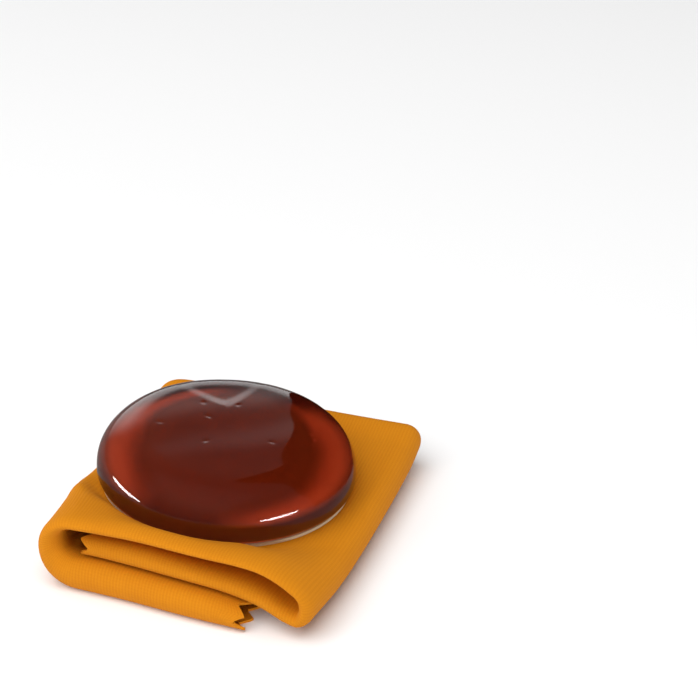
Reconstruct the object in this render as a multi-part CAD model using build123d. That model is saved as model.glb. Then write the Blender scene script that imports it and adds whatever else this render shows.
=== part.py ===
from build123d import *

import math
import os

# Rosin cake on its folded polishing cloth. Millimetres.
# The cake is a round disc of cast rosin on a thin card. It lies on a knitted
# microfibre cloth that is folded in thirds, front and back edges under, into a
# band. The band's right end is then turned under the cake, and its left end is
# brought round in a soft loop and laid under that.
# X runs along the front fold to the right, Y into the depth, Z up.
# The origin is the middle of the cloth's outline, on the table.

# --- Rosin cake and its card -------------------------------------------------
cake_diameter = 50.0
cake_thickness = 10.6
cake_top_round_width = 8.0  # how far the poured top edge rolls in
cake_top_round_height = 7.0  # and how far it rolls down
cake_foot_round = 2.0
card_inset = 0.9  # the card stops this far inside the cake's edge
card_thickness = 0.6

# --- How the cake lies on the folded cloth -----------------------------------
seat_height = 11.0  # top of the cloth under the middle of the cake
seat_tilt = 4.6  # degrees down to the right, where fewer layers lie under it
seat_gap = 0.1  # between the card and the cloth, so that the cake lifts freely

# --- Folded cloth ------------------------------------------------------------
end_margin = 8.0  # cloth beyond the cake on the right
edge_margin = 8.0  # cloth beyond the cake at the front and at the back
cake_clearance = 1.0  # from the cake's edge to where the cloth starts to rise
fold_crest = 3.0  # the front and back folds' level crest, in from their edge
pressed_layer = 3.3  # one folded layer under the cake
edge_layer = 5.6  # one folded layer at its springy front and back folds
layer_gap = 0.3  # air between layers that are free of each other
edge_rise = 3.8  # the front and back folds stand this far above the seat
right_end_lift = 1.8  # the folded right end stands this far off the table
left_fold_wall = 3.3  # the band's thickness around the left loop
middle_flap_setback = 4.8  # middle flap's cut end, from the left loop's middle
bottom_flap_setback = 16.0  # bottom flap's cut end, from the right edge

# --- Sizes that follow -------------------------------------------------------
card_diameter = cake_diameter - 2 * card_inset
pad_width = cake_diameter + end_margin
pad_depth = cake_diameter + 2 * edge_margin
cake_x = -end_margin / 2
tilt = math.radians(seat_tilt)
slope = math.tan(tilt)
pressed_half = cake_diameter / 2 + cake_clearance
crest_half = pad_depth / 2 - fold_crest

# The left loop is as tall as the seat is there, and the right fold fills the
# height between its lift and the seat. Both heights lie on the sloping seat.
left_fold_radius = (seat_height + (pad_width / 2 + cake_x) * slope) / (2 + slope)
right_room = seat_height - (pad_width / 2 - cake_x) * slope - right_end_lift
right_fold_radius = right_room / (2 - slope)
left_fold_x = -pad_width / 2 + left_fold_radius
right_fold_x = pad_width / 2 - right_fold_radius
right_fold_z = right_end_lift + right_fold_radius
middle_flap_end = left_fold_x + middle_flap_setback
bottom_flap_end = pad_width / 2 - bottom_flap_setback


def seat_at(x):
    """Height of the sloping seat over the table."""
    return seat_height - (x - cake_x) * slope


def prism_across(*corners):
    """A prism through the whole depth, from its corners (x, z)."""
    face = Plane.XZ * make_face(Polyline(*corners, close=True))
    return extrude(face, amount=pad_depth / 2, both=True)


def under_cloth(drop):
    """All the space under the cloth's upper side, when that is lowered by drop.
    The upper side is the seat with a raised edge at the front and at the back.
    Right of the bottom flap's end the raised edges come down to the right fold."""
    down_slope = Vector(math.cos(tilt), 0, -math.sin(tilt))
    along_seat = Plane(
        origin=(cake_x, 0, seat_height), x_dir=(0, 1, 0), z_dir=down_slope
    )
    floor = -2 * seat_height
    seat_line = -drop * math.cos(tilt)
    crest_line = (edge_rise - drop) * math.cos(tilt)
    channel = Polyline(
        (-pad_depth / 2, floor),
        (pad_depth / 2, floor),
        (pad_depth / 2, crest_line),
        (crest_half, crest_line),
        (pressed_half, seat_line),
        (-pressed_half, seat_line),
        (-crest_half, crest_line),
        (-pad_depth / 2, crest_line),
        close=True,
    )
    dished = extrude(along_seat * make_face(channel), amount=2 * pad_width, both=True)
    profile = prism_across(
        (left_fold_x, floor),
        (left_fold_x, seat_at(left_fold_x) + edge_rise - drop),
        (bottom_flap_end, seat_at(bottom_flap_end) + edge_rise - drop),
        (right_fold_x, seat_at(right_fold_x) - drop),
        (right_fold_x, floor),
    )
    return dished & profile


# --- Cake --------------------------------------------------------------------
def rosin_cake():
    """The cast disc: flat foot, small lower round, and a poured top whose edge
    rolls over as a quarter of an ellipse."""
    radius = cake_diameter / 2
    top_z = card_thickness + cake_thickness
    round_z = top_z - cake_top_round_height
    foot_z = card_thickness + cake_foot_round
    foot = Line((0, card_thickness), (radius - cake_foot_round, card_thickness))
    lower_round = JernArc(
        (radius - cake_foot_round, card_thickness), (1, 0), cake_foot_round, 90
    )
    wall = Line((radius, foot_z), (radius, round_z))
    upper_round = EllipticalCenterArc(
        (radius - cake_top_round_width, round_z),
        cake_top_round_width,
        cake_top_round_height,
        start_angle=0,
        arc_size=90,
    )
    top = Line((radius - cake_top_round_width, top_z), (0, top_z))
    axis = Line((0, top_z), (0, card_thickness))
    half_section = make_face(foot + lower_round + wall + upper_round + top + axis)
    return revolve(Plane.XZ * half_section, Axis.Z)


def backing_card():
    """The card that the cake is cast on. It shows as a thin pale line."""
    return Pos(0, 0, card_thickness / 2) * Cylinder(card_diameter / 2, card_thickness)


seat_normal = Vector(math.sin(tilt), 0, math.cos(tilt))
seat = Plane(
    origin=Vector(cake_x, 0, seat_height) + seat_normal * seat_gap,
    x_dir=(math.cos(tilt), 0, -math.sin(tilt)),
    z_dir=seat_normal,
)


# --- Cloth, one piece of fabric in six stretches -----------------------------
def top_panel():
    """The stretch the cake lies on. Its front and back folds stand up around the
    cake, and at the right it comes down to the fold."""
    return under_cloth(0) - under_cloth(pressed_layer)


def flap_block(growth):
    """The bottom flap, or the space it needs when its top is raised by growth:
    pressed flat under the cake and thicker at its front and back folds."""
    section = Polyline(
        (-pad_depth / 2, 0),
        (pad_depth / 2, 0),
        (pad_depth / 2, edge_layer + growth),
        (crest_half, edge_layer + growth),
        (pressed_half, pressed_layer + growth),
        (-pressed_half, pressed_layer + growth),
        (-crest_half, edge_layer + growth),
        (-pad_depth / 2, edge_layer + growth),
        close=True,
    )
    start = Plane.YZ.offset(left_fold_x)
    length = bottom_flap_end + growth - left_fold_x
    return extrude(start * make_face(section), amount=length)


def middle_flap():
    """The right end of the band, turned under: it lies on the bottom flap, and
    past that flap's end it hangs down towards the table."""
    flap_end = bottom_flap_end + layer_gap
    room = prism_across(
        (middle_flap_end, 0),
        (flap_end, pressed_layer + layer_gap),
        (right_fold_x, right_end_lift),
        (right_fold_x, seat_height),
        (middle_flap_end, 2 * seat_height),
    )
    return (under_cloth(pressed_layer + layer_gap) & room) - flap_block(layer_gap)


def right_fold():
    """The closed fold that joins the top panel to the middle flap."""
    across = Plane.XZ.offset(pad_depth / 2)
    disc = Pos(right_fold_x, right_fold_z) * Circle(right_fold_radius)
    outer_half = Pos(right_fold_x + right_fold_radius, right_fold_z) * Rectangle(
        2 * right_fold_radius, 2 * right_fold_radius
    )
    return extrude(across * (disc & outer_half), amount=-pad_depth)


def left_fold(upper):
    """A quarter of the soft loop at the left, cut where the bottom flap turns."""
    across = Plane.XZ.offset(pad_depth / 2)
    middle = Pos(left_fold_x, left_fold_radius)
    ring = Circle(left_fold_radius) - Circle(left_fold_radius - left_fold_wall)
    side = 1 if upper else -1
    quarter = Pos(-left_fold_radius / 2, side * left_fold_radius / 2) * Rectangle(
        left_fold_radius, left_fold_radius
    )
    return extrude(across * middle * (ring & quarter), amount=-pad_depth)


nodes = {
    "rosin_cake": seat * rosin_cake(),
    "backing_card": seat * backing_card(),
    "cloth_top_panel": top_panel(),
    "cloth_right_fold": right_fold(),
    "cloth_middle_flap": middle_flap(),
    "cloth_left_fold_upper": left_fold(upper=True),
    "cloth_left_fold_lower": left_fold(upper=False),
    "cloth_bottom_flap": flap_block(growth=0),
}

os.makedirs("parts", exist_ok=True)
for name, shape in nodes.items():
    export_step(shape, f"parts/{name}.step")

# The bottom flap opens about the outermost line of the left loop.
print("flap hinge line: x", round(-pad_width / 2, 3), "z", round(left_fold_radius, 3))
print("pad", pad_width, "x", pad_depth, "flap ends", round(bottom_flap_end, 2), round(middle_flap_end, 2))
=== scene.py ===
import bpy
import numpy as np
from mathutils import Matrix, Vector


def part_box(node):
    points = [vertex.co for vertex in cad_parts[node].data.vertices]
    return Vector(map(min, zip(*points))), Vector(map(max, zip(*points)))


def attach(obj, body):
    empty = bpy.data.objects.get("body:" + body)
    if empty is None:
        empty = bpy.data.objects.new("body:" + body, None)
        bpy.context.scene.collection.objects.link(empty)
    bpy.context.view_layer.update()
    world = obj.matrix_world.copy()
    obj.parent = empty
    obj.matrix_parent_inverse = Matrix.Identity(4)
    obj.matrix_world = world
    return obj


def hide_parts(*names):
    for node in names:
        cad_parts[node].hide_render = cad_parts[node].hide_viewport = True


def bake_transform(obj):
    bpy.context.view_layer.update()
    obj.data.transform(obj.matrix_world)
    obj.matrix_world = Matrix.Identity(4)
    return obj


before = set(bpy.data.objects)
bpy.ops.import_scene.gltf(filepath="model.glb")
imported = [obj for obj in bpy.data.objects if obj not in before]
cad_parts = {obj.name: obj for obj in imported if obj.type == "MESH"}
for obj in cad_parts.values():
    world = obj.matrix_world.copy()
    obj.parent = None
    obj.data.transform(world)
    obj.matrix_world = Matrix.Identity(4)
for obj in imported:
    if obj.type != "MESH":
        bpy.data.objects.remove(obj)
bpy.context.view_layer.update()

# --- Seat --------------------------------------------------------------------
# Where the cake lies on the folded cloth: the card's box gives the middle and
# the slope of the seat. All shapes below are worked out in millimetres.
MM = 0.001
CARD_THICKNESS = 0.6
SEAT_GAP = 0.06  # the cloth stops this far under the card

card_low, card_high = (np.array(corner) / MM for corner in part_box("backing_card"))
card_middle = (card_low + card_high) / 2
seat_slope = (card_high[2] - card_low[2] - CARD_THICKNESS) / (card_high[0] - card_low[0])
seat_cos = 1 / np.sqrt(1 + seat_slope**2)
seat_sin = seat_slope * seat_cos


def seat_at(x):
    """Height of the cloth under the card: a straight slope down to the right."""
    middle = card_middle[2] - CARD_THICKNESS / 2 / seat_cos - SEAT_GAP
    return middle - (x - card_middle[0]) * seat_slope


# --- Polishing cloth ---------------------------------------------------------
# One square of knitted microfibre, dyed through, cut all round with pinking
# shears. It is folded in thirds, front and back under, and the band so made is
# turned under at the right and brought round in a soft loop at the left.
PLY = 0.5  # thickness of the cloth
TOOTH_PITCH = 4.5  # pinking shears: from tooth to tooth
TOOTH_DEPTH = 2.2
DRAW = 6.0  # the cloth behind the teeth draws back over this length
ROW_STEP = TOOTH_PITCH / 8  # mesh rows along the cut edges
COLUMN_STEP = TOOTH_PITCH / 4
HEM = 0.04  # a last narrow column, so that shading meets across the seam

# The band's turns: where they stand and how far round they go.
RIGHT_RADIUS = 3.3
INNER_RADIUS = 0.5  # the right fold's inner side
LEFT_WALL = 4.3  # the folded band's thickness round the left loop
SHOULDER_SQUARE = 0.28  # how far the loop's shoulder is squared off, at the back
FOOT_SQUARE = 0.9  # exponent of the loop's lower half, 1 for a true ellipse
MIDDLE_END = -21.4  # cut end of the middle flap, in the loop's mouth
BOTTOM_END = 12.9  # cut end of the bottom flap

# Nominal front and back folds, before the cloth's own skew.
FRONT_LINE = -30.4
BACK_LINE = 30.4
FRONT_NOSE = 2.7  # how far the soft fold stands out beyond its line
BACK_NOSE = 2.3
FRONT_SKEW = 0.03  # how far each fold's line runs out, per mm to the right
BACK_SKEW = 0.12
MIDDLE_RECESS = 1.9  # the middle flap's front fold lies this far back
FLAP_STEP = 1.1  # and the bottom flap's end this far forward
INNER_PLY_END = 24.0  # the cut edge that lies on the inner side of the band
HIDDEN_PLY_END = -22.0  # the cut edge that lies between the other two plies
HIDDEN_PLY_SHARE = 0.55
PRESSED_LAYER = 3.2  # one folded layer under the cake
PRESSED_GAP = 0.3  # between two layers there
PRESSED_FLAP = 3.25  # the bottom flap's top under the cake
MIDDLE_HANG = 3.6  # the middle flap's underside, behind the front folds

# How the cloth rises round the cake.
CAKE_HOLD = 24.5  # it starts to rise this far from the cake's middle
RISE_BESIDE = 13.0  # beside the cake it starts this far in front of the middle
LIP = 0.42  # the lip in front of the cake, as a share of the front crest
LIP_WIDTH = 2.4
LIP_LEFT = 50  # degrees from straight in front, where the lip has died away
LIP_RIGHT = 44
PUFF_FRONT = 2.1  # swelling of the loop's shoulder
PUFF_MIDDLE = 1.8  # added to it beside the cake
PUFF_BACK = 2.4  # and taken off again at the back
BACK_RISE = 0.7
WAVE = 0.10  # slack waves where nothing presses

# Heights at the front folds, along x: the crest round the cake, the top layer's
# underside, the middle flap's upper side and underside, the bottom flap's top.
FRONT_X = (-23, -18, -11, -5, 1, 7, 12, 16, 20, 24, 26)
CREST = (16.1, 16.4, 16.3, 16.0, 15.7, 15.4, 15.1, 14.6, 13.0, 10.5, 9.1)
TOP_UNDER = (13.6, 13.8, 13.7, 13.5, 13.4, 13.3, 13.2, 12.7, 11.0, 7.8, 6.0)
MIDDLE_TOP = (11.5, 11.3, 10.8, 10.3, 9.8, 9.1, 8.2, 7.0, 5.8, 5.3, 5.2)
MIDDLE_UNDER = (7.1, 7.0, 6.7, 6.4, 6.1, 5.6, 4.6, 3.4, 2.6, 2.3, 2.3)
FLAP_TOP = (6.8, 6.7, 6.4, 6.1, 5.8, 5.3, 4.3, 3.4, 2.6, 2.3, 2.3)


def ease(t):
    """Smooth step from 0 to 1: three t squared less two t cubed."""
    t = np.clip(t, 0, 1)
    return t * t * (3 - 2 * t)


def through(heights, x):
    """A smooth line through the heights at FRONT_X: a cubic in each span, whose
    slope at a point is that of its neighbours' chord. Level beyond the ends."""
    xs, zs = np.array(FRONT_X, float), np.array(heights, float)
    slopes = np.gradient(zs, xs)
    x = np.clip(x, xs[0], xs[-1])
    i = np.clip(np.searchsorted(xs, x) - 1, 0, len(xs) - 2)
    span = xs[i + 1] - xs[i]
    t = (x - xs[i]) / span
    start = (1 + 2 * t) * (1 - t) ** 2 * zs[i] + t * (1 - t) ** 2 * span * slopes[i]
    finish = t**2 * (3 - 2 * t) * zs[i + 1] + t**2 * (t - 1) * span * slopes[i + 1]
    return start + finish


def front_share(x, y):
    """0 where the cake presses and 1 on the front crest: an ease that starts at
    the cake's edge, a circle, and ends on the front fold's line. In front of the
    cake the cloth also swells up close round its foot, as a lip."""
    beside = np.clip(np.abs(x - card_middle[0]) / CAKE_HOLD, 0, 1)
    start = np.maximum(CAKE_HOLD * np.sqrt(1 - beside**2), RISE_BESIDE)
    rise = ease((-y - start) / (-FRONT_LINE - start))
    away = np.hypot(x - card_middle[0], y) - CAKE_HOLD
    bearing = np.degrees(np.arctan2(x - card_middle[0], -y))
    width = ease((bearing + LIP_LEFT) / 18) * ease((LIP_RIGHT - bearing) / 20)
    lip = LIP * ease(away / LIP_WIDTH) * width
    return 1 - (1 - rise) * (1 - lip)


def puff(x, y):
    """How much the loop's shoulder swells at the left: an ease outward from the
    cake's edge and another towards the left, most beside the cake's middle."""
    away = np.hypot(x - card_middle[0], y) - CAKE_HOLD
    swell = PUFF_FRONT + PUFF_MIDDLE * ease((y + 6) / 10) - PUFF_BACK * ease((y - 9) / 13)
    return swell * ease(away / 5) * ease((-x - 8) / 12) * (1 - front_share(x, y))


def layers(x, y):
    """The six heights of the three folded layers at x, y, from the top down:
    flat under the cake, and blended to the heights of the front and back folds."""
    f = front_share(x, y)
    soft = ease((-y - 18) / 12)
    b = ease((y - 24.5) / 8)
    seat, crest = seat_at(x), through(CREST, x)
    under_crest, middle_crest = through(TOP_UNDER, x), through(MIDDLE_TOP, x)
    beyond = np.hypot(x - card_middle[0], y) - CAKE_HOLD
    wave = WAVE * np.sin(0.31 * x + 0.9) * np.sin(0.27 * y + 0.4) * ease(beyond / 4)
    top = seat + f * (crest - seat) + BACK_RISE * b + wave
    thick = PRESSED_LAYER + f * (crest - under_crest - PRESSED_LAYER) + 0.5 * b
    under = top - thick
    gap = PRESSED_GAP + f * (under_crest - middle_crest - PRESSED_GAP)
    middle_top = under - gap
    hang = MIDDLE_HANG - 1.8 * ease((x - BOTTOM_END) / 9)
    middle_under = hang + soft * (through(MIDDLE_UNDER, x) - hang) + 0.9 * b
    flap_top = PRESSED_FLAP + soft * (through(FLAP_TOP, x) - PRESSED_FLAP) + 0.8 * b
    flap_top = np.minimum(flap_top, middle_under - PRESSED_GAP)
    return top, under, middle_top, middle_under, flap_top, 0 * x


def right_turn(y):
    """Where the right fold's middle stands: it bows out a little, a parabola about
    y = -12 that falls away faster towards the front corner."""
    bow = np.where(y < -12, 0.0020, 0.0009)
    return 26.4 - bow * (y + 12) ** 2 - RIGHT_RADIUS


def left_turn(y):
    """The left loop's middle and its reach. Towards the front the middle moves
    right and the reach shrinks, and at the back the reach grows."""
    f = ease((-y - 12) / 18)
    middle = -23.8 + 2.1 * f
    reach = middle + 30.4 - 0.6 * f + 0.6 * ease((y - 5) / 20)
    return middle, reach


# Lengths of the band's stretches, from the middle flap's end to the bottom flap's.
MIDDLE_RUN = 46.5
RIGHT_RUN = 10.2
TOP_RUN = 46.6
LEFT_RUN = 22.5
BOTTOM_RUN = 34.4
LENGTHS = np.array([MIDDLE_RUN, RIGHT_RUN, TOP_RUN, LEFT_RUN, BOTTOM_RUN])
STARTS = np.concatenate([[0], np.cumsum(LENGTHS)])
SEAM = STARTS[3] + LEFT_RUN / 2  # the left loop's outermost line


def band(u, y, inner):
    """The band's outer or inner side, u mm along it from the middle flap's end:
    straight runs between its layers' heights, and half ellipses round the turns.
    The outer ones are sheared, so that they leave the top layer along its slope."""
    share = [np.clip((u - s) / n, 0, 1) for s, n in zip(STARTS, LENGTHS)]
    right, (left, reach) = right_turn(y), left_turn(y)

    def height(x, outer, inward):
        """The height of one of the six sides that layers gives."""
        return layers(x, y)[inward if inner else outer]

    def lean(x, radius, angle):
        """How far a turn is sheared, by the slope of the top layer that it
        leaves. The inner side isn't sheared."""
        if inner:
            return 0 * x
        slope = height(x + 0.5, 0, 1) - height(x - 0.5, 0, 1)
        return slope * radius * np.cos(angle) * np.clip(np.sin(angle), 0, 1)

    x_middle = MIDDLE_END + (right - MIDDLE_END) * share[0]
    z_middle = height(x_middle, 3, 2)

    angle = np.pi * (share[1] - 0.5)
    radius = INNER_RADIUS if inner else RIGHT_RADIUS
    low, high = height(right, 3, 2), height(right, 0, 1)
    x_right = right + radius * np.cos(angle)
    z_right = (low + high) / 2 + (high - low) / 2 * np.sin(angle) + lean(right, radius, angle)

    x_top = right + (left - right) * share[2]
    z_top = height(x_top, 0, 1) + puff(x_top, y)

    angle = np.pi * (share[3] + 0.5)
    radius = reach - LEFT_WALL if inner else reach
    low, high = height(left, 5, 4), height(left, 0, 1)
    over = np.clip(np.sin(angle), 0, 1)
    square = 1 - SHOULDER_SQUARE * (1 - ease((-y - 12) / 16)) * ease(over * 3)
    square = np.where(np.sin(angle) < 0, FOOT_SQUARE, square)
    x_left = left - radius * np.abs(np.cos(angle)) ** square
    swell = np.sign(np.sin(angle)) * np.abs(np.sin(angle)) ** square
    z_left = (low + high) / 2 + (high - low) / 2 * swell + lean(left, radius, angle)
    z_left = z_left + puff(x_left, y) * over**0.8

    x_bottom = left + (BOTTOM_END - left) * share[4]
    z_bottom = height(x_bottom, 5, 4)

    where = [u < STARTS[1], u < STARTS[2], u < STARTS[3], u < STARTS[4]]
    x = np.select(where, [x_middle, x_right, x_top, x_left], x_bottom)
    z = np.select(where, [z_middle, z_right, z_top, z_left], z_bottom)
    return x, z


def fold_path():
    """The cloth's own path from front to back, folded in thirds, as y and the
    share of the band's thickness, 0 outside and 1 inside, each row one step on:
    the hidden ply, the back nose, the outer ply, the front nose, the inner ply.
    Also how far along it the front nose's foremost line is."""
    turn = np.linspace(0, np.pi, 60)
    hidden = np.linspace(HIDDEN_PLY_END, BACK_LINE, 200)
    outer = np.linspace(BACK_LINE, FRONT_LINE, 240)[1:-1]
    inner = np.linspace(FRONT_LINE, INNER_PLY_END, 200)[1:]
    y = np.concatenate([
        hidden,
        BACK_LINE + BACK_NOSE * np.sin(turn[1:]),
        outer,
        FRONT_LINE - FRONT_NOSE * np.sin(turn),
        inner,
    ])
    f = np.concatenate([
        np.full(len(hidden), HIDDEN_PLY_SHARE),
        HIDDEN_PLY_SHARE * (1 + np.cos(turn[1:])) / 2,
        np.zeros(len(outer)),
        (1 - np.cos(turn)) / 2,
        np.ones(len(inner)),
    ])
    thickness = 3.3 + 2.5 * ease((np.abs(y) - 20) / 10)
    step = np.hypot(np.diff(y), np.diff(f) * (thickness[1:] + thickness[:-1]) / 2)
    along = np.concatenate([[0], np.cumsum(step)])
    rows = np.arange(int(along[-1] / ROW_STEP) + 1) * ROW_STEP
    foremost = len(hidden) + len(turn) - 1 + len(outer) + len(turn) // 2
    return rows, np.interp(rows, along, y), np.interp(rows, along, f), along[foremost]


row_v, row_y, row_f, nose_v = fold_path()


def teeth(along, tip):
    """Pinking: how far the cut lies in from its tips, a triangle wave with a tip
    at the given place."""
    turns = (along - tip) / TOOTH_PITCH
    return TOOTH_DEPTH * 2 * np.abs(turns - np.round(turns))


def cloth(first, last):
    """The folded cloth between two places along its band, as a grid of points
    and of flat places u, v in mm. The cut ends draw back by the teeth's depth, and
    y is then stretched to the skewed lines of the front and back folds."""
    fine = COLUMN_STEP / 2
    end = STARTS[5]
    u = np.arange(0, end + fine / 2, fine)
    turning = (u > STARTS[1] - 2) & (u < STARTS[2] + 2)
    turning |= (u > STARTS[3] - 2) & (u < STARTS[4] + 2)
    u = u[turning | (np.arange(len(u)) % 2 == 0)]
    between = u[(u > first + 0.3) & (u < last - 0.3)]
    u = np.concatenate([[first, first + HEM], between, [last - HEM, last]])
    u, v = np.meshgrid(u, row_v, indexing="ij")

    cut = u + teeth(v, nose_v + 0.55 * TOOTH_PITCH) * np.clip(1 - u / DRAW, 0, 1)
    cut -= teeth(v, nose_v + TOOTH_PITCH / 2) * np.clip(1 - (end - u) / DRAW, 0, 1)
    drawn = v + teeth(u, 0) * np.clip(1 - v / DRAW, 0, 1)
    drawn -= teeth(u, 0) * np.clip((v - row_v[-1] + DRAW) / DRAW, 0, 1)

    y = np.interp(drawn, row_v, row_y)
    f = np.interp(drawn, row_v, row_f)
    outer_x, outer_z = band(cut, y, inner=False)
    inner_x, inner_z = band(cut, y, inner=True)
    x = outer_x + (inner_x - outer_x) * f
    z = outer_z + (inner_z - outer_z) * f

    recess = MIDDLE_RECESS * (1 - ease((cut - STARTS[1] + 9) / 10))
    recess -= FLAP_STEP * ease((cut - STARTS[4] - 8) / 24)
    front = (32.3 + FRONT_SKEW * x - recess) / (FRONT_NOSE - FRONT_LINE)
    back = (32.3 + BACK_SKEW * x) / (BACK_LINE + BACK_NOSE)
    ahead, behind = 1 + (front - 1) * ease(-y / 25), 1 + (back - 1) * ease(y / 25)
    y = y * np.where(y < 0, ahead, behind)
    y = y + 0.18 * np.sin(0.16 * cut + 0.5) * ease((-y - 26) / 5)
    return np.stack([x, y, z], -1), u, v


def make_cloth(name, first, last):
    """The stretch of cloth between two places along the band as a mesh object,
    with its flat place in mm as UV and the ply's thickness laid inwards."""
    points, u, v = cloth(first, last)
    columns, rows = u.shape
    number = np.arange(columns * rows).reshape(columns, rows)
    a, b = number[:-1, :-1], number[1:, :-1]
    c, d = number[1:, 1:], number[:-1, 1:]
    quads = np.stack([a, b, c, d], -1).reshape(-1, 4)
    mesh = bpy.data.meshes.new(name)
    mesh.from_pydata((points.reshape(-1, 3) * MM).tolist(), [], quads.tolist())
    flat = mesh.uv_layers.new(name="flat_mm")
    place = np.stack([u.ravel()[quads], v.ravel()[quads]], -1)
    flat.data.foreach_set("uv", place.astype(np.float32).ravel())
    mesh.polygons.foreach_set("use_smooth", np.ones(len(quads), bool))
    mesh.validate()
    ends = np.empty(2 * len(mesh.edges), np.int32)
    mesh.edges.foreach_get("vertices", ends)
    column, row = np.divmod(ends.reshape(-1, 2), rows)
    border = (column == 0).all(1) | (column == columns - 1).all(1)
    border |= (row == 0).all(1) | (row == rows - 1).all(1)
    mesh.edges.foreach_set("use_edge_sharp", border)
    piece = bpy.data.objects.new(name, mesh)
    bpy.context.scene.collection.objects.link(piece)
    wall = piece.modifiers.new("ply", "SOLIDIFY")
    wall.thickness = PLY * MM
    wall.offset = -1
    return piece


def linear(hex_colour):
    """An sRGB hex colour as linear RGBA."""
    srgb = np.array([int(hex_colour[i : i + 2], 16) for i in (1, 3, 5)]) / 255
    low = srgb / 12.92
    high = ((srgb + 0.055) / 1.055) ** 2.4
    return (*np.where(srgb <= 0.04045, low, high), 1.0)


def node(tree, kind, settings=None, **links):
    """Adds a node to a material's tree: settings are its own properties, and a
    link is an input's name, with _ for a space, or i and its number, and a socket
    or a constant."""
    made = tree.nodes.new(kind)
    for key, value in (settings or {}).items():
        setattr(made, key, value)
    for key, value in links.items():
        place = int(key[1:]) if key[1:].isdigit() else key.replace("_", " ")
        slot = made.inputs[place]
        if isinstance(value, bpy.types.NodeSocket):
            tree.links.new(value, slot)
        else:
            slot.default_value = value
    return made


def new_material(name):
    """An empty node material and its tree."""
    material = bpy.data.materials.new(name)
    material.use_nodes = True
    material.node_tree.nodes.clear()
    return material, material.node_tree


# Knitted microfibre, dyed and brushed: matt, with a faint bloom at grazing
# angles, and fine ribs that run from front to back, crossed by finer stitches.
# Its colour follows the relief as painted shade, darker where the knit's grooves
# and the pile lie low, and it also varies at random in broad patches.
RIB_PITCH = 0.65
STITCH_PITCH = 0.55
microfibre, tree = new_material("knitted_microfibre")
flat = node(tree, "ShaderNodeUVMap", {"uv_map": "flat_mm"}).outputs["UV"]
split = node(tree, "ShaderNodeSeparateXYZ", Vector=flat)
phase = node(
    tree, "ShaderNodeMath", {"operation": "MULTIPLY"},
    i0=split.outputs["X"], i1=2 * np.pi / RIB_PITCH,
)
rib = node(tree, "ShaderNodeMath", {"operation": "SINE"}, i0=phase.outputs[0])
stitch_phase = node(
    tree, "ShaderNodeMath", {"operation": "MULTIPLY"},
    i0=split.outputs["Y"], i1=2 * np.pi / STITCH_PITCH,
)
stitch = node(tree, "ShaderNodeMath", {"operation": "SINE"}, i0=stitch_phase.outputs[0])
knit = node(
    tree, "ShaderNodeMath", {"operation": "MULTIPLY_ADD"},
    i0=stitch.outputs[0], i1=0.35, i2=rib.outputs[0],
)
pile = node(tree, "ShaderNodeTexNoise", Vector=flat, Scale=1.6, Detail=4.0, Roughness=0.6)
patch = node(tree, "ShaderNodeTexNoise", Vector=flat, Scale=0.09, Detail=2.0)
# Painted shade: where the knit's relief is low, in its grooves, the colour is darker.
groove_shade = node(
    tree, "ShaderNodeMapRange", Value=knit.outputs[0],
    From_Min=-1.3, From_Max=1.3, To_Min=0.0, To_Max=0.35,
)
groove_shade_and_patches = node(
    tree, "ShaderNodeMath", {"operation": "MULTIPLY_ADD"},
    i0=patch.outputs["Fac"], i1=0.35, i2=groove_shade.outputs["Result"],
)
relief_shade_and_patches = node(
    tree, "ShaderNodeMath", {"operation": "MULTIPLY_ADD"},
    i0=pile.outputs["Fac"], i1=0.25, i2=groove_shade_and_patches.outputs[0],
)
# The dye's two tones, mixed by the painted shade of the relief and the random patches.
dye_and_relief_shade = node(
    tree, "ShaderNodeMix", {"data_type": "RGBA"},
    i0=relief_shade_and_patches.outputs[0], i6=linear("#B96D10"), i7=linear("#CE8417"),
)
height = node(
    tree, "ShaderNodeMath", {"operation": "MULTIPLY_ADD"},
    i0=pile.outputs["Fac"], i1=0.8, i2=knit.outputs[0],
)
relief = node(
    tree, "ShaderNodeBump", Strength=0.22, Distance=0.05 * MM, Height=height.outputs[0],
)
cloth_shader = node(
    tree, "ShaderNodeBsdfPrincipled",
    Base_Color=dye_and_relief_shade.outputs["Result"], Roughness=0.85, Normal=relief.outputs["Normal"],
    Sheen_Weight=0.08, Sheen_Roughness=0.5, Sheen_Tint=linear("#FFB050"),
    Specular_IOR_Level=0.1,
)
node(tree, "ShaderNodeOutputMaterial", Surface=cloth_shader.outputs[0])

cloth_pad = make_cloth("cloth_pad", 0, SEAM)
cloth_pad.data.materials.append(microfibre)
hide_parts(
    "cloth_top_panel", "cloth_right_fold", "cloth_middle_flap", "cloth_left_fold_upper",
)
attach(cloth_pad, "pad")

cloth_flap = make_cloth("cloth_bottom_flap_visual", SEAM, STARTS[5])
cloth_flap.data.materials.append(microfibre)
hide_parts("cloth_left_fold_lower", "cloth_bottom_flap")
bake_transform(cloth_flap)

# --- Backing card ------------------------------------------------------------
# Die-cut disc of uncoated beige board that the rosin was poured on; the rosin
# holds it. Uncoated board is matt, and its bare edge stays pale.
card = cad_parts["backing_card"]
board, tree = new_material("uncoated_card")
place = node(tree, "ShaderNodeTexCoord").outputs["Object"]
fibres = node(tree, "ShaderNodeTexNoise", Vector=place, Scale=2200.0, Detail=5.0, Roughness=0.65)
shade = node(
    tree, "ShaderNodeMix", {"data_type": "RGBA"},
    i0=fibres.outputs["Fac"], i6=linear("#A8967A"), i7=linear("#CDBEA4"),
)
# Under the rosin the board is painted dark, as soaked board is, and darker
# still towards the rim, as painted shade under the cake's foot. A paler ring is
# painted light: it stands for the light that the cake's rounded edge gathers on
# it; it is fullest at the left and right, and its middle is a little off the card's.
RING = 18.0
ring_middle = card_middle + (-1.2, 3.0, 0)


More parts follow.
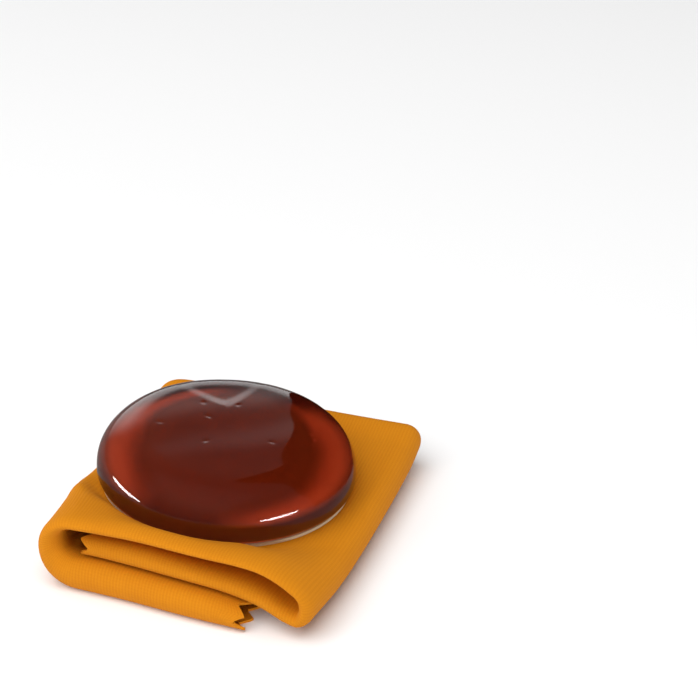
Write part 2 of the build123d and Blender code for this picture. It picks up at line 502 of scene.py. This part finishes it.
def step(value, start, finish):
    """A smooth step of a shader value, from start to finish in mm."""
    made = node(
        tree, "ShaderNodeMapRange", {"interpolation_type": "SMOOTHSTEP"},
        Value=value, From_Min=start * MM, From_Max=finish * MM,
    )
    return made.outputs["Result"]


from_middle = node(
    tree, "ShaderNodeVectorMath", {"operation": "SUBTRACT"}, i0=place, i1=card_middle * MM,
)
card_radius = node(
    tree, "ShaderNodeVectorMath", {"operation": "LENGTH"}, i0=from_middle.outputs[0],
).outputs["Value"]
from_ring = node(
    tree, "ShaderNodeVectorMath", {"operation": "SUBTRACT"}, i0=place, i1=ring_middle * MM,
)
ring_radius = node(
    tree, "ShaderNodeVectorMath", {"operation": "LENGTH"}, i0=from_ring.outputs[0],
).outputs["Value"]
sideways = node(tree, "ShaderNodeSeparateXYZ", Vector=from_ring.outputs[0])
sideways = node(tree, "ShaderNodeMath", {"operation": "ABSOLUTE"}, i0=sideways.outputs["X"])
ring_light_inside = node(
    tree, "ShaderNodeMath", {"operation": "MULTIPLY"},
    i0=step(ring_radius, 15.4, RING), i1=step(sideways.outputs[0], 4.0, 14.0),
)
ring_light = node(
    tree, "ShaderNodeMath", {"operation": "MULTIPLY"},
    i0=ring_light_inside.outputs[0], i1=step(ring_radius, 19.8, 18.2),
)
# Soaked board, with painted shade: its colour darkens towards the rim, under the cake's foot.
soak_and_painted_light = node(
    tree, "ShaderNodeMix", {"data_type": "RGBA"},
    i0=step(ring_radius, 14.5, 20.5), i6=linear("#8A7048"), i7=linear("#5A301C"),
)
# Painted light: the pale ring is laid over the soaked board and its painted shade.
soak_and_painted_light = node(
    tree, "ShaderNodeMix", {"data_type": "RGBA"},
    i0=ring_light.outputs[0], i6=soak_and_painted_light.outputs["Result"], i7=linear("#DEAC94"),
)
shade = node(
    tree, "ShaderNodeMix", {"data_type": "RGBA"},
    i0=step(card_radius, 23.6, 23.9), i6=soak_and_painted_light.outputs["Result"], i7=shade.outputs["Result"],
)
relief = node(
    tree, "ShaderNodeBump", Strength=0.4, Distance=0.03 * MM, Height=fibres.outputs["Fac"],
)
board_shader = node(
    tree, "ShaderNodeBsdfPrincipled",
    Base_Color=shade.outputs["Result"], Roughness=0.8, Normal=relief.outputs["Normal"],
)
node(tree, "ShaderNodeOutputMaterial", Surface=board_shader.outputs[0])
card.data.materials.clear()
card.data.materials.append(board)

# --- Rosin cake --------------------------------------------------------------
# Rosin cast on the card in a shallow mould and left to set: clear, dark
# red-brown and glossy. It sticks to the card by itself.
CAKE_RADIUS = 25.0
CAKE_THICKNESS = 10.6
TOP_ROUND_WIDTH = 8.6
TOP_ROUND_HEIGHT = 7.8
FOOT_ROUND = 2.0
CROWN = 0.3  # the top's rise from the round to the middle
BITE = 0.05  # the rosin's foot lies this far down in the card's surface

# The top's faint relief, all in mm: long low waves left by the pour, a creased
# step near the far rim where the skin sagged, and small pits from bubbles.
WAVE_HEIGHT = 0.042
CROSS_WAVE_HEIGHT = 0.020
CREASE_DROP = 0.30
CREASE_WIDTH = 2.4
CREASE_TIP = 9.4  # how far beyond the middle the crease's tip is
PIT_DEPTH = 0.10
PIT_RADIUS = 0.4
PITS = (
    (-8.0, 6.5), (-1.5, 8.5), (-5.0, 2.0), (9.5, -1.5), (-2.0, -6.5),
    (-12.5, -4.0), (15.0, 4.0), (16.2, 2.6), (14.2, 1.9),
)


def cake_profile():
    """Half section as radius and height over the card, from the middle of the
    foot round to the middle of the top: a flat foot, a quarter circle, a straight
    wall, a quarter ellipse, and a shallow parabola for the crown."""
    quarter = np.linspace(0, np.pi / 2, 48)
    foot_r = np.linspace(0, CAKE_RADIUS - FOOT_ROUND, 12)
    round_z = CAKE_THICKNESS - TOP_ROUND_HEIGHT
    flat_r = CAKE_RADIUS - TOP_ROUND_WIDTH
    wall_z = np.linspace(FOOT_ROUND, round_z, 6)[1:-1]
    top_r = np.linspace(flat_r, 0, 40)[1:]
    radius = np.concatenate([
        foot_r,
        CAKE_RADIUS - FOOT_ROUND + FOOT_ROUND * np.sin(quarter[1:]),
        np.full(4, CAKE_RADIUS),
        flat_r + TOP_ROUND_WIDTH * np.cos(quarter),
        top_r,
    ])
    height = np.concatenate([
        np.zeros(12),
        FOOT_ROUND - FOOT_ROUND * np.cos(quarter[1:]),
        wall_z,
        round_z + TOP_ROUND_HEIGHT * np.sin(quarter),
        np.full(39, CAKE_THICKNESS),
    ])
    crown = CROWN * (1 - (radius / CAKE_RADIUS) ** 2) * (height > round_z)
    return radius, height + crown


def cake_points(turns):
    """The section turned round the axis, as rings of points and the two poles, with
    the number of rings. The upper side gets two crossed sine waves, a smooth step
    down beyond a V-shaped line, and round pits."""
    radius, height = cake_profile()
    angle = np.arange(turns) * 2 * np.pi / turns
    x = radius[1:-1, None] * np.cos(angle)
    y = radius[1:-1, None] * np.sin(angle)
    z = height[1:-1, None] + 0 * x
    upper = ease((z - 7.5) / 2.8)
    far, beside = 0.94 * y - 0.34 * x, 0.94 * x + 0.34 * y + 0.9
    across = 0.89 * far - 0.46 * beside
    waves = WAVE_HEIGHT * np.sin(across / 2.3 + 0.5 * np.sin(beside / 5) - 1.0)
    waves += CROSS_WAVE_HEIGHT * np.sin(beside / 2.1 + 1.0)
    z = z + upper * waves
    arm = np.where(beside < 0, 0.80, 1.7)  # how steeply each arm of the V runs back
    crease = CREASE_TIP + arm * (np.sqrt(beside**2 + 3.0) - 1.73)
    past = (far - crease) / np.sqrt(1 + arm**2)
    drop = CREASE_DROP / (1 + (beside / 6) ** 2)
    z = z - drop * ease(past / CREASE_WIDTH + 0.5) * upper
    for pit_x, pit_y in PITS:
        away = np.hypot(x - pit_x, y - pit_y)
        z = z - PIT_DEPTH * upper * np.exp(-((away / PIT_RADIUS) ** 2))
    rings = np.stack([x, y, z], -1).reshape(-1, 3)
    poles = np.array([[0, 0, height[0]], [0, 0, height[-1]]])
    return np.concatenate([rings, poles]), len(radius) - 2


def make_cake(name, turns):
    """The turned cake as a closed mesh: quads between rings and a fan of
    triangles at each pole, laid on the sloping seat."""
    points, rings = cake_points(turns)
    number = np.arange(rings * turns).reshape(rings, turns)
    after = np.roll(number, -1, axis=1)
    quads = np.stack([number[:-1], after[:-1], after[1:], number[1:]], -1).reshape(-1, 4)
    foot, crown = rings * turns, rings * turns + 1
    foot_fan = [(foot, b, a) for a, b in zip(number[0], after[0])]
    crown_fan = [(crown, a, b) for a, b in zip(number[-1], after[-1])]
    x, y, z = points.T
    z = z + CARD_THICKNESS / 2 - BITE
    turned = np.stack([
        card_middle[0] + x * seat_cos + z * seat_sin,
        card_middle[1] + y,
        card_middle[2] - x * seat_sin + z * seat_cos,
    ], -1)
    mesh = bpy.data.meshes.new(name)
    mesh.from_pydata((turned * MM).tolist(), [], quads.tolist() + foot_fan + crown_fan)
    mesh.polygons.foreach_set("use_smooth", np.ones(len(mesh.polygons), bool))
    mesh.validate()
    piece = bpy.data.objects.new(name, mesh)
    bpy.context.scene.collection.objects.link(piece)
    return piece


# Cast rosin: a clear natural resin, refractive index 1.53, polished by its own
# skin. Its colour is in its depth, so thin edges glow red and the middle is dark.
rosin, tree = new_material("cast_rosin")
place = node(tree, "ShaderNodeTexCoord").outputs["Object"]
skin = node(tree, "ShaderNodeTexNoise", Vector=place, Scale=260.0, Detail=1.0)
relief = node(
    tree, "ShaderNodeBump", Strength=0.06, Distance=0.05 * MM, Height=skin.outputs["Fac"],
)
resin = node(
    tree, "ShaderNodeBsdfPrincipled",
    Base_Color=(1, 1, 1, 1), Roughness=0.05, IOR=1.53, Transmission_Weight=1.0,
    Normal=relief.outputs["Normal"],
)
depth = node(tree, "ShaderNodeVolumeAbsorption", Color=(0.92, 0.55, 0.34, 1), Density=200.0)
node(tree, "ShaderNodeOutputMaterial", Surface=resin.outputs[0], Volume=depth.outputs[0])

cake = make_cake("rosin_cake_cast", 256)
cake.data.materials.append(rosin)
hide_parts("rosin_cake")
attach(cake, "cake")

# --- Studio ------------------------------------------------------------------
# White table, dimmer in mirror images so that it doesn't grey the rosin, a pale
# backdrop behind, a low softbox on each side and two fill lamps. None of it is
# part of the object.
floor_mesh = bpy.data.meshes.new("floor")
floor_mesh.from_pydata([(-4, -4, 0), (4, -4, 0), (4, 4, 0), (-4, 4, 0)], [], [(0, 1, 2, 3)])
floor = bpy.data.objects.new("floor", floor_mesh)
bpy.context.scene.collection.objects.link(floor)
white, tree = new_material("white_table")
mirrored = node(tree, "ShaderNodeLightPath").outputs["Is Glossy Ray"]
paint = node(
    tree, "ShaderNodeMix", {"data_type": "RGBA"},
    i0=mirrored, i6=linear("#F7F7F7"), i7=linear("#808080"),
)
table = node(tree, "ShaderNodeBsdfDiffuse", Color=paint.outputs["Result"])
node(tree, "ShaderNodeOutputMaterial", Surface=table.outputs[0])
floor.data.materials.append(white)

world = bpy.data.worlds.new("studio")
bpy.context.scene.world = world
world.use_nodes = True
tree = world.node_tree
tree.nodes.clear()

# Mirror images see the backdrop, which is bright low down behind the object and
# dark above. All else is lit by an even, dim light.
direction = node(tree, "ShaderNodeTexCoord").outputs["Generated"]
climb = node(tree, "ShaderNodeSeparateXYZ", Vector=direction)
low_down = node(
    tree, "ShaderNodeMapRange", {"interpolation_type": "SMOOTHSTEP"}, Value=climb.outputs["Z"],
    From_Min=0.32, From_Max=0.58, To_Min=1.0, To_Max=0.0,
)
behind = node(
    tree, "ShaderNodeMapRange", {"interpolation_type": "SMOOTHSTEP"}, Value=climb.outputs["Y"],
    From_Min=0.5, From_Max=0.85, To_Min=0.0, To_Max=1.3,
)
backdrop = node(
    tree, "ShaderNodeMath", {"operation": "MULTIPLY_ADD"},
    i0=low_down.outputs["Result"], i1=behind.outputs["Result"], i2=0.10,
)
seen = node(tree, "ShaderNodeLightPath").outputs["Is Glossy Ray"]
backdrop = node(
    tree, "ShaderNodeMix", {"data_type": "FLOAT"},
    i0=seen, i2=0.30, i3=backdrop.outputs[0],
)
sky = node(tree, "ShaderNodeBackground", Color=(1, 1, 1, 1), Strength=backdrop.outputs[0])
node(tree, "ShaderNodeOutputWorld", Surface=sky.outputs[0])


def softbox(name, azimuth, elevation, distance, width, height, power, mirrored):
    """A soft area lamp that looks at the cake, azimuth from straight in front
    towards the right and elevation over the table, in degrees. A fill lamp shows
    in no mirror image."""
    a, e = np.radians([azimuth, elevation])
    away = np.array([np.sin(a) * np.cos(e), -np.cos(a) * np.cos(e), np.sin(e)])
    lamp = bpy.data.lights.new(name, "AREA")
    lamp.shape = "ELLIPSE" if mirrored else "RECTANGLE"
    lamp.size, lamp.size_y, lamp.energy = width, height, power
    box = bpy.data.objects.new(name, lamp)
    box.location = away * distance + (0, 0, 0.01)
    box.visible_glossy = mirrored
    side = np.cross([0, 0, 1], away)
    side /= np.linalg.norm(side)
    upward = np.cross(away, side)
    box.rotation_euler = Matrix(np.stack([side, upward, away], 1).tolist()).to_euler()
    bpy.context.scene.collection.objects.link(box)


softbox("softbox_left", -70, 3.5, 0.9, 0.60, 0.09, 2.4, mirrored=True)
softbox("softbox_right", 67, 3, 0.9, 0.56, 0.085, 2.6, mirrored=True)
softbox("fill_above", -15, 62, 1.2, 1.5, 1.5, 20.0, mirrored=False)
softbox("fill_front", 15, 25, 1.0, 0.6, 0.4, 0.3, mirrored=False)

# A black flag behind at the right: it shows only as the dark, wavy-edged part of
# the mirror image on the rosin's right side.
flag_mesh = bpy.data.meshes.new("flag")
flag_corners = [(-0.007, 0.055, 0), (0.2, 0.02, 0), (0.2, 0.02, 0.16), (-0.007, 0.055, 0.16)]
flag_mesh.from_pydata(flag_corners, [], [(0, 1, 2, 3)])
flag = bpy.data.objects.new("flag", flag_mesh)
bpy.context.scene.collection.objects.link(flag)
for sight in ("camera", "diffuse", "transmission", "volume_scatter", "shadow"):
    setattr(flag, "visible_" + sight, False)
black, tree = new_material("black_flag")
felt = node(tree, "ShaderNodeBsdfDiffuse", Color=linear("#0C0A0A"))
node(tree, "ShaderNodeOutputMaterial", Surface=felt.outputs[0])
flag.data.materials.append(black)

camera_data = bpy.data.cameras.new("camera")
camera_data.lens = 113.14
camera = bpy.data.objects.new("camera", camera_data)
right = np.array([0.94137, 0.33721, -0.00985])
upward = np.array([-0.14684, 0.43586, 0.88796])
back = np.array([0.30372, -0.83446, 0.45982])
camera.rotation_euler = Matrix(np.stack([right, upward, back], 1).tolist()).to_euler()
camera.location = (0.1442, -0.3369, 0.2288)
bpy.context.scene.collection.objects.link(camera)
bpy.context.scene.camera = camera
bpy.context.scene.view_settings.view_transform = "Standard"
